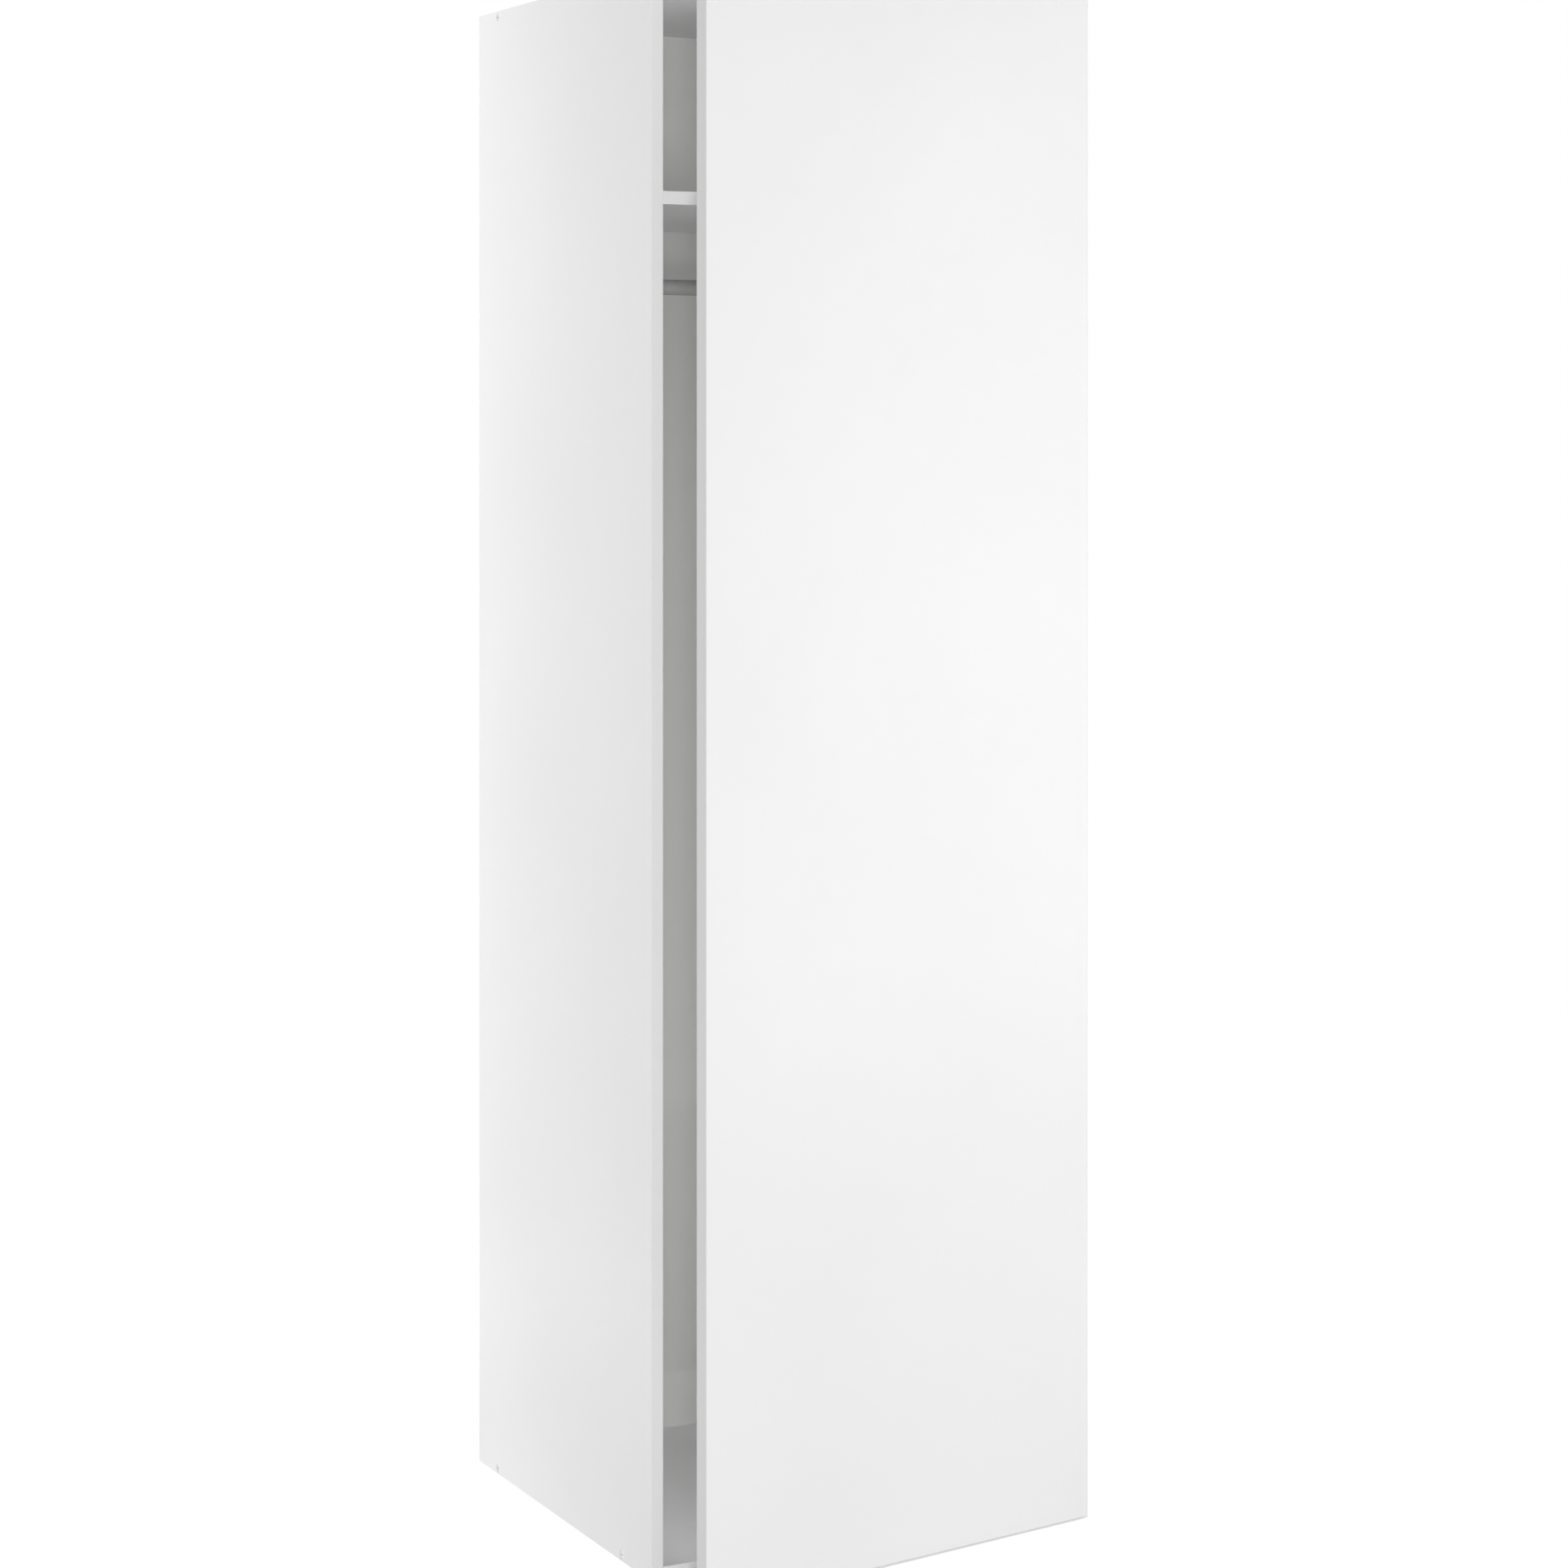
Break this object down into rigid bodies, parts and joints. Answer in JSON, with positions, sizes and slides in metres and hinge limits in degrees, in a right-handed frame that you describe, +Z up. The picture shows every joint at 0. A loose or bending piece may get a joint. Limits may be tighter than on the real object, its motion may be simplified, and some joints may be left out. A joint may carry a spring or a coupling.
{
  "type": "tall kitchen cabinet",
  "caption": "Tall white frameless kitchen cabinet with a full-height plain door ajar on concealed hinges, a fixed upper shelf and a hanging rail.",
  "frame": {"origin": "centre of the carcass footprint, on its underside at floor level", "axes": "+X to the cabinet's right seen from its front, +Y to the wall, +Z up; the door is at -Y"},
  "size_m": [0.6003, 0.6868, 1.94],
  "materials": {
    "carcass_board": "white melamine-faced board, satin",
    "back_board": "white-faced thin board, satin",
    "front_banding": "white edge banding, satin",
    "door_board": "white lacquered board, satin",
    "door_banding": "white edge banding, satin",
    "screw_steel": "zinc-plated",
    "pin_steel": "ground",
    "hinge_steel": "nickel-plated sheet",
    "zinc_casting": "zinc die casting, satin",
    "rail_chrome": "bright chrome tube",
    "socket_metal": "satin chrome",
    "dowel_wood": "raw beech",
    "bumper_rubber": "clear soft plastic"
  },
  "bodies": {
    "carcass": {"left_side_panel": "carcass_board", "right_side_panel": "carcass_board", "top_panel": "carcass_board", "bottom_panel": "carcass_board", "fixed_shelf": "carcass_board", "wall_rail_top": "carcass_board", "wall_rail_bottom": "carcass_board", "back_panel": "back_board", "left_side_banding": "front_banding", "right_side_banding": "front_banding", "top_banding": "front_banding", "bottom_banding": "front_banding", "shelf_banding": "front_banding", "carcass_screws_left": "screw_steel", "carcass_screws_right": "screw_steel", "dowels_left": "dowel_wood", "dowels_right": "dowel_wood", "shelf_cams": "zinc_casting", "shelf_cam_bolts": "screw_steel", "hanging_rail": "rail_chrome", "rail_socket_left": "socket_metal", "rail_socket_right": "socket_metal", "rail_screws": "screw_steel", "arm_pins": "pin_steel", "plate_screws": "screw_steel", "arm_screws": "screw_steel", "hinge_arm_1": "hinge_steel", "hinge_arm_2": "hinge_steel", "hinge_arm_3": "hinge_steel", "hinge_arm_4": "hinge_steel", "hinge_plate_1": "zinc_casting", "hinge_plate_2": "zinc_casting", "hinge_plate_3": "zinc_casting", "hinge_plate_4": "zinc_casting"},
    "outer_levers": {"outer_levers_1": "hinge_steel", "outer_levers_2": "hinge_steel", "outer_levers_3": "hinge_steel", "outer_levers_4": "hinge_steel"},
    "door": {"door_panel": "door_board", "door_banding_left": "door_banding", "door_banding_right": "door_banding", "door_banding_top": "door_banding", "door_banding_bottom": "door_banding", "door_bumpers": "bumper_rubber", "cup_screws": "screw_steel", "cup_pins": "pin_steel", "hinge_cup_1": "hinge_steel", "hinge_cup_2": "hinge_steel", "hinge_cup_3": "hinge_steel", "hinge_cup_4": "hinge_steel"},
    "inner_levers": {"inner_lever_1": "zinc_casting", "inner_lever_2": "zinc_casting", "inner_lever_3": "zinc_casting", "inner_lever_4": "zinc_casting"}
  },
  "joints": [
    {"name": "lever_swing", "type": "hinge", "parent": "carcass", "child": "outer_levers", "pos_m": [0.2603, -0.275, 0.977], "axis": [0, 0, 1], "range_deg": [-31.36, 3.83]},
    {"name": "door_swing", "type": "hinge", "parent": "outer_levers", "child": "door", "pos_m": [0.28509, -0.28657, 0.977], "axis": [0, 0, 1], "range_deg": [-14.11, 116.04]},
    {"name": "link_swing", "type": "hinge", "parent": "door", "child": "inner_levers", "pos_m": [0.28628, -0.29205, 0.977], "axis": [0, 0, 1], "range_deg": [-102.08, 12.43]}
  ],
  "couplings": [
    {"joint": "lever_swing", "follows": "door_swing", "ratio": -0.27007},
    {"joint": "link_swing", "follows": "door_swing", "ratio": -0.87956}
  ]
}
